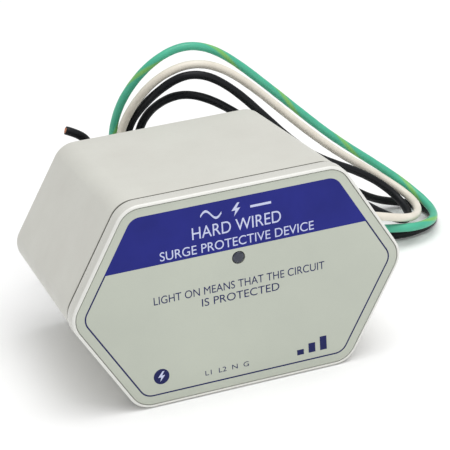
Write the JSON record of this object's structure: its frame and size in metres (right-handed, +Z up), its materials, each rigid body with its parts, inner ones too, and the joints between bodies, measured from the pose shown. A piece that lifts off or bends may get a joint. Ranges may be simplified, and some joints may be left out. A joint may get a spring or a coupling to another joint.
{
  "type": "hard-wired surge protection device",
  "caption": "Hexagonal moulded surge protection device with a labelled front, a status light window, a threaded rear conduit nipple with locknut, and stiff flying leads.",
  "frame": {"origin": "under the middle of the device without its free leads, on the level of the cover's lower edge", "axes": "+Z up, +X to the right seen from the front, +Y from the label face towards the nipple at the rear"},
  "size_m": [0.1913, 0.1503, 0.0936],
  "materials": {
    "housing_plastic": "off-white moulded thermoplastic, fine satin texture",
    "cover_plastic": "off-white moulded thermoplastic, satin, smoother at the rim",
    "gasket_rubber": "grey closed-cell gasket, matt",
    "label_film": "printed polycarbonate overlay, velvet satin",
    "window_lens": "smoky translucent light pipe, polished",
    "led_lens": "tinted epoxy",
    "board_laminate": "green solder mask on glass-epoxy laminate",
    "zinc_plate": "bright zinc plating",
    "varistor_coating": "blue epoxy dip coat",
    "fuse_body": "ceramic cut-off body",
    "capacitor_case": "yellow moulded box",
    "resistor_body": "lacquered",
    "tinned_copper": "bright tin plating",
    "washer_rubber": "black moulded rubber, matt",
    "seal_resin": "dark potting resin",
    "black_insulation": "black building-wire insulation, satin",
    "white_insulation": "white building-wire insulation, satin",
    "green_insulation": "green building-wire insulation with faint yellow marks, satin"
  },
  "bodies": {
    "housing": {"housing_body": "housing_plastic", "front_cover": "cover_plastic", "cover_gasket": "gasket_rubber", "front_label": "label_film", "status_window": "window_lens", "status_led": "led_lens", "circuit_board": "board_laminate", "board_screw_1": "zinc_plate", "board_screw_2": "zinc_plate", "board_screw_3": "zinc_plate", "board_screw_4": "zinc_plate", "varistor_1": "varistor_coating", "varistor_2": "varistor_coating", "varistor_3": "varistor_coating", "varistor_4": "varistor_coating", "varistor_5": "varistor_coating", "varistor_6": "varistor_coating", "thermal_fuse_1": "fuse_body", "thermal_fuse_2": "fuse_body", "filter_capacitor": "capacitor_case", "led_resistor": "resistor_body", "lead_terminal_1": "tinned_copper", "lead_terminal_2": "tinned_copper", "lead_terminal_3": "tinned_copper", "lead_terminal_4": "tinned_copper", "conduit_nipple": "zinc_plate", "lead_seal": "seal_resin", "inner_wire_1": "white_insulation", "inner_wire_2": "green_insulation", "inner_wire_3": "black_insulation", "inner_wire_4": "black_insulation", "ground_lead": "green_insulation", "neutral_lead": "white_insulation", "line_lead_1": "black_insulation", "line_lead_2": "black_insulation"},
    "washer": {"nut_washer": "washer_rubber"},
    "locknut": {"locknut": "zinc_plate"}
  },
  "joints": [
    {"name": "locknut_travel", "type": "slide", "parent": "housing", "child": "washer", "axis": [0, 1, 0], "range_m": [0, 0.0127]},
    {"name": "locknut_turn", "type": "hinge", "parent": "washer", "child": "locknut", "pos_m": [0, 0.033, 0.0395], "axis": [0, 1, 0], "range_deg": [0, 2520]}
  ],
  "couplings": [
    {"joint": "locknut_travel", "follows": "locknut_turn", "m_per_rad": 0.00028871}
  ]
}
